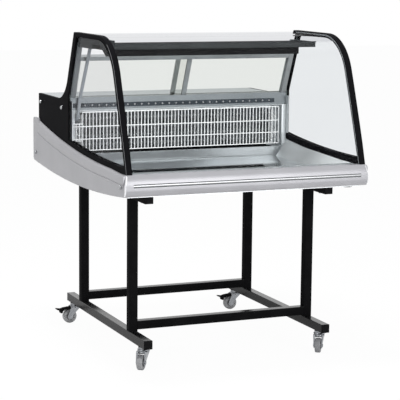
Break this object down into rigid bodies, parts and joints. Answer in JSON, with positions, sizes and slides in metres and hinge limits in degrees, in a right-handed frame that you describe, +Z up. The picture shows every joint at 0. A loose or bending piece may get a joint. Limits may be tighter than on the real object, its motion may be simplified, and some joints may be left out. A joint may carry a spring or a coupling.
{
  "type": "display cabinet",
  "caption": "Chilled serve-over display cabinet with bowed front glass, lamp canopy, guarded cooler and sliding rear doors, on a tubular castor stand.",
  "frame": {"origin": "on the floor under the middle of the cabinet's outer box", "axes": "+X to the cabinet's right seen from the customer's side, +Y from the customer's side to the server's side, +Z up"},
  "size_m": [1.048, 1.15, 1.282],
  "materials": {
    "black_powder_coat": "satin powder coat",
    "black_plastic": "fine-grained moulding",
    "panel_black": "smooth satin moulding",
    "silver_grey": "silver-grey satin moulding",
    "trim_grey": "satin insert strip",
    "zinc_plate": "bright zinc plate",
    "castor_grey": "grey tread on a plastic hub",
    "stainless": "brushed stainless sheet",
    "stainless_polished": "polished stainless sheet",
    "foam": "cut polyurethane foam",
    "white_enamel": "white coated wire",
    "coil_aluminium": "plain fin stock",
    "coil_tube": "drawn tube",
    "aluminium_anodised": "satin anodised",
    "clear_glass": "clear toughened glass",
    "hood_grey": "dark grey coat",
    "lamp_black": "black coat",
    "lamp_white": "white tube and holders",
    "lamp_lens": "clear ribbed lens",
    "chrome_cap": "polished cap",
    "cover_grey": "grey coated sheet",
    "machine_black": "black enamel",
    "copper": "drawn copper tube",
    "control_black": "moulded",
    "rubber_black": "moulded rubber"
  },
  "bodies": {
    "cabinet": {"stand_foot_rails": "black_powder_coat", "stand_top_rails": "black_powder_coat", "stand_posts": "black_powder_coat", "stand_cross_rails": "black_powder_coat", "rail_end_plugs": "black_plastic", "stand_bolts": "zinc_plate", "castor_stems": "zinc_plate", "base_tray": "stainless", "insulation": "foam", "liner": "stainless", "display_deck": "stainless_polished", "rubber_feet": "rubber_black", "rear_wall_kerb": "stainless", "air_outlet_strip": "lamp_black", "wire_guard": "white_enamel", "evaporator_fins": "coil_aluminium", "evaporator_tubes": "coil_tube", "evaporator_brackets": "white_enamel", "end_panel_left": "panel_black", "end_panel_right": "panel_black", "side_glass": "clear_glass", "side_bumper_left": "silver_grey", "side_bumper_right": "silver_grey", "front_bumper": "silver_grey", "front_bumper_insert": "trim_grey", "front_glass": "clear_glass", "rear_uprights": "aluminium_anodised", "door_tracks": "aluminium_anodised", "lamp_hood": "hood_grey", "lamp_box": "lamp_black", "lamp_tube": "lamp_white", "lamp_lens": "lamp_lens", "lamp_wiring_box": "hood_grey", "cap_screws": "chrome_cap", "worktop": "stainless", "rear_cover": "cover_grey", "compressor": "machine_black", "condenser": "coil_aluminium", "fan_motor": "machine_black", "refrigerant_pipes": "copper", "switch_plate": "control_black", "cable_gland": "black_plastic"},
    "castor_fl": {"castor_fork_fl": "zinc_plate"},
    "wheel_fl": {"castor_wheel_fl": "castor_grey"},
    "castor_fr": {"castor_fork_fr": "zinc_plate"},
    "wheel_fr": {"castor_wheel_fr": "castor_grey"},
    "castor_rl": {"castor_fork_rl": "zinc_plate"},
    "wheel_rl": {"castor_wheel_rl": "castor_grey"},
    "pedal_rl": {"brake_pedal_rl": "black_plastic"},
    "castor_rr": {"castor_fork_rr": "zinc_plate"},
    "wheel_rr": {"castor_wheel_rr": "castor_grey"},
    "pedal_rr": {"brake_pedal_rr": "black_plastic"},
    "door_left": {"door_glass_left": "clear_glass", "door_stile_left": "aluminium_anodised"},
    "door_right": {"door_glass_right": "clear_glass", "door_stile_right": "aluminium_anodised"},
    "fan": {"fan_blades": "coil_aluminium"},
    "rocker_main": {"rocker_main": "control_black"},
    "rocker_lamp": {"rocker_lamp": "control_black"},
    "knob": {"thermostat_knob": "control_black"}
  },
  "joints": [
    {"name": "swivel_fl", "type": "hinge", "parent": "cabinet", "child": "castor_fl", "pos_m": [-0.384, -0.432, 0.075], "axis": [0, 0, 1], "continuous": true},
    {"name": "roll_fl", "type": "hinge", "parent": "castor_fl", "child": "wheel_fl", "pos_m": [-0.40007, -0.45115, 0.03], "axis": [0.766, -0.6428, 0], "continuous": true},
    {"name": "swivel_fr", "type": "hinge", "parent": "cabinet", "child": "castor_fr", "pos_m": [0.384, -0.432, 0.075], "axis": [0, 0, 1], "continuous": true},
    {"name": "roll_fr", "type": "hinge", "parent": "castor_fr", "child": "wheel_fr", "pos_m": [0.36966, -0.45248, 0.03], "axis": [0.8192, -0.5736, 0], "continuous": true},
    {"name": "swivel_rl", "type": "hinge", "parent": "cabinet", "child": "castor_rl", "pos_m": [-0.384, 0.402, 0.075], "axis": [0, 0, 1], "continuous": true},
    {"name": "roll_rl", "type": "hinge", "parent": "castor_rl", "child": "wheel_rl", "pos_m": [-0.409, 0.402, 0.03], "axis": [0, -1, 0], "continuous": true},
    {"name": "brake_rl", "type": "hinge", "parent": "castor_rl", "child": "pedal_rl", "pos_m": [-0.402, 0.402, 0.067], "axis": [0, -1, 0], "range_deg": [0, 10]},
    {"name": "swivel_rr", "type": "hinge", "parent": "cabinet", "child": "castor_rr", "pos_m": [0.384, 0.402, 0.075], "axis": [0, 0, 1], "continuous": true},
    {"name": "roll_rr", "type": "hinge", "parent": "castor_rr", "child": "wheel_rr", "pos_m": [0.359, 0.402, 0.03], "axis": [0, -1, 0], "continuous": true},
    {"name": "brake_rr", "type": "hinge", "parent": "castor_rr", "child": "pedal_rr", "pos_m": [0.366, 0.402, 0.067], "axis": [0, -1, 0], "range_deg": [0, 10]},
    {"name": "slide_door_left", "type": "slide", "parent": "cabinet", "child": "door_left", "axis": [1, 0, 0], "range_m": [0, 0.415]},
    {"name": "slide_door_right", "type": "slide", "parent": "cabinet", "child": "door_right", "axis": [-1, 0, 0], "range_m": [0, 0.39]},
    {"name": "fan_spin", "type": "hinge", "parent": "cabinet", "child": "fan", "pos_m": [0.21, 0.4145, 0.82], "axis": [0, 1, 0], "continuous": true},
    {"name": "rocker_main", "type": "hinge", "parent": "cabinet", "child": "rocker_main", "pos_m": [-0.364, 0.542, 0.88], "axis": [1, 0, 0], "range_deg": [-6, 6]},
    {"name": "rocker_lamp", "type": "hinge", "parent": "cabinet", "child": "rocker_lamp", "pos_m": [-0.33, 0.542, 0.88], "axis": [1, 0, 0], "range_deg": [-6, 6]},
    {"name": "thermostat", "type": "hinge", "parent": "cabinet", "child": "knob", "pos_m": [-0.278, 0.5505, 0.88], "axis": [0, 1, 0], "range_deg": [0, 270]}
  ]
}
